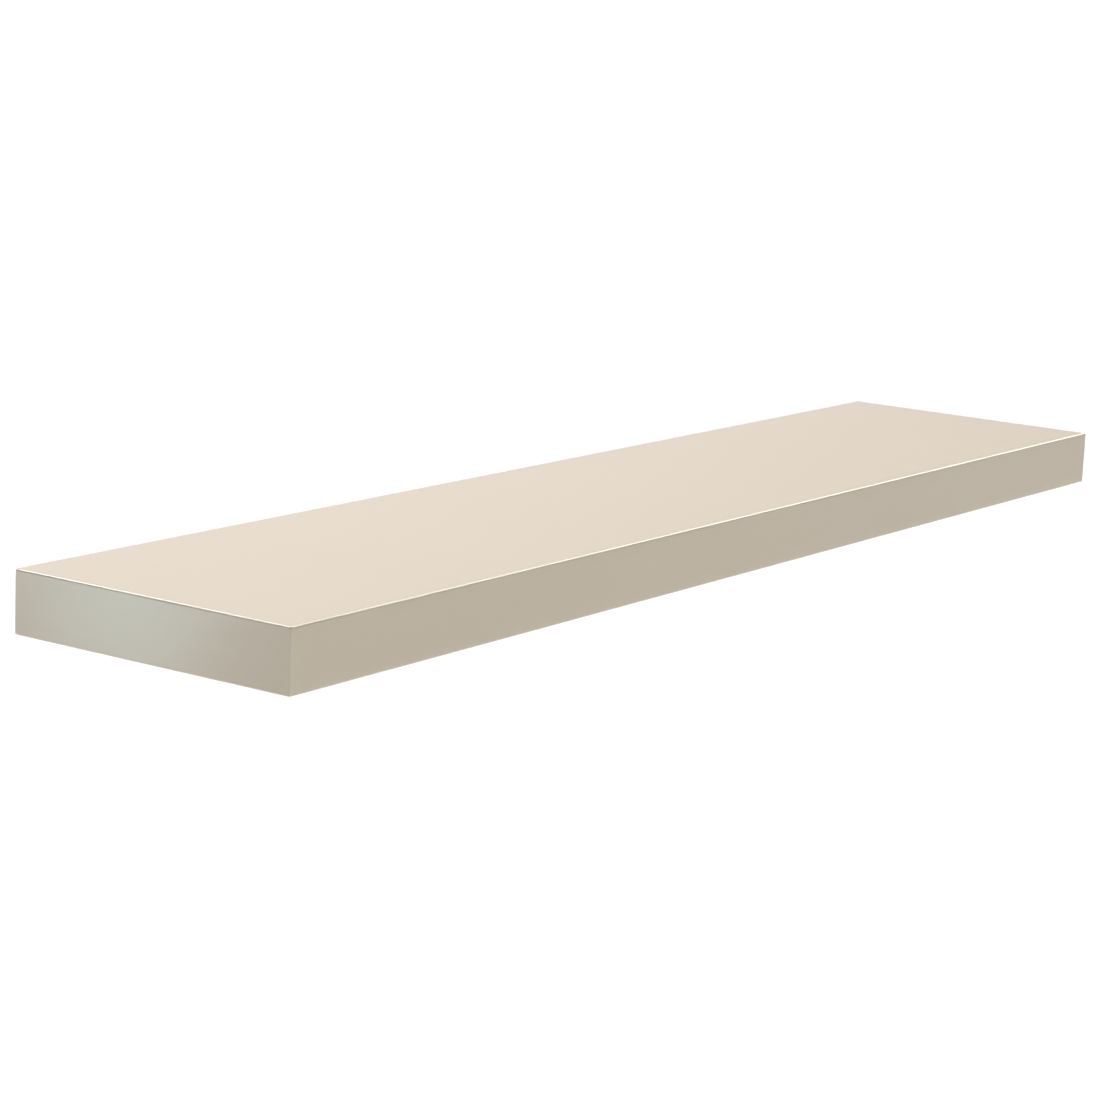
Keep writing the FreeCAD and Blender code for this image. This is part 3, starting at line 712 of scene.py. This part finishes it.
def arch(across, along, strip):
    """A strip light arched over the board: 1 for directions inside it, 0 outside."""
    lean = add(room, "Math", {0: towards[along], 1: towards["Z"]}, operation="DIVIDE").outputs["Value"]
    inside = [add(room, "Math", {0: place, 1: middle, 2: half}, operation="COMPARE").outputs["Value"]
              for place, (middle, half) in ((towards[across], strip["across"]), (lean, strip["along"]))]
    return add(room, "Math", {0: inside[0], 1: inside[1]}, operation="MULTIPLY").outputs["Value"]


def lamp(name, shape, place, aim, size, power, tint):
    """A soft lamp of a given shape and size, aimed at a point."""
    data = bpy.data.lights.new(name, "AREA")
    data.shape = shape
    data.size, data.size_y = size
    data.energy = power
    data.color = tint
    item = bpy.data.objects.new(name, data)
    item.location = place
    item.rotation_euler = (aim - place).to_track_quat("-Z", "Y").to_euler()
    bpy.context.collection.objects.link(item)


to_right = add(room, "MapRange", {"Value": towards["X"], "From Min": -1.0}).outputs["Result"]
room_light = ramp(room, to_right, (0.0, ROOM_LEFT), (1.0, ROOM_RIGHT))
facing = add(room, "VectorMath", {0: direction, 1: WINDOW_TOWARDS}, operation="DOT_PRODUCT")
window = add(room, "MapRange", {"Value": facing.outputs["Value"], "From Min": WINDOW_EDGE,
                                "From Max": WINDOW_CORE}, interpolation_type="SMOOTHSTEP")
for shape, glow in ((window.outputs["Result"], WINDOW_GLOW),
                    (arch("X", "Y", RIGHT_ARCH), RIGHT_ARCH["glow"]),
                    (arch("Y", "X", BACK_ARCH), BACK_ARCH["glow"])):
    room_light = add(room, "MixRGB", {"Fac": shape, "Color1": room_light, "Color2": glow},
                     blend_type="ADD").outputs["Color"]
seen = add(room, "Background", {"Color": ROOM_WHITE})
lit = add(room, "Background", {"Color": room_light})
walls = add(room, "MixShader", {"Fac": add(room, "LightPath", {}).outputs["Is Camera Ray"]})
room.links.new(lit.outputs["Background"], walls.inputs[1])
room.links.new(seen.outputs["Background"], walls.inputs[2])
room.links.new(walls.outputs["Shader"], room.nodes["World Output"].inputs["Surface"])
bpy.context.scene.world = world
lamp("left_oval", "ELLIPSE", OVAL_PLACE, OVAL_AIM, OVAL_SIZE, OVAL_POWER, OVAL_TINT)
lamp("front_strip", "RECTANGLE", STRIP_PLACE, STRIP_AIM, STRIP_SIZE, STRIP_POWER, STRIP_TINT)

# Camera: a long lens, a little above the board and well to its left, as in the photograph. Its
# place and turn are fitted to the corners of the board.
CAMERA_PLACE = (-2.1492, -1.5355, 0.4897)
CAMERA_TURN = (78.541, -2.500, -54.704)  # degrees about X, Y and Z
CAMERA_LENS = 101.65
CAMERA_REACH = 1000

camera_data = bpy.data.cameras.new("camera")
camera_data.lens = CAMERA_LENS
camera_data.clip_end = CAMERA_REACH
camera = bpy.data.objects.new("camera", camera_data)
camera.location = CAMERA_PLACE
camera.rotation_euler = [math.radians(turn) for turn in CAMERA_TURN]
bpy.context.collection.objects.link(camera)
bpy.context.scene.camera = camera
bpy.context.scene.view_settings.view_transform = "Standard"
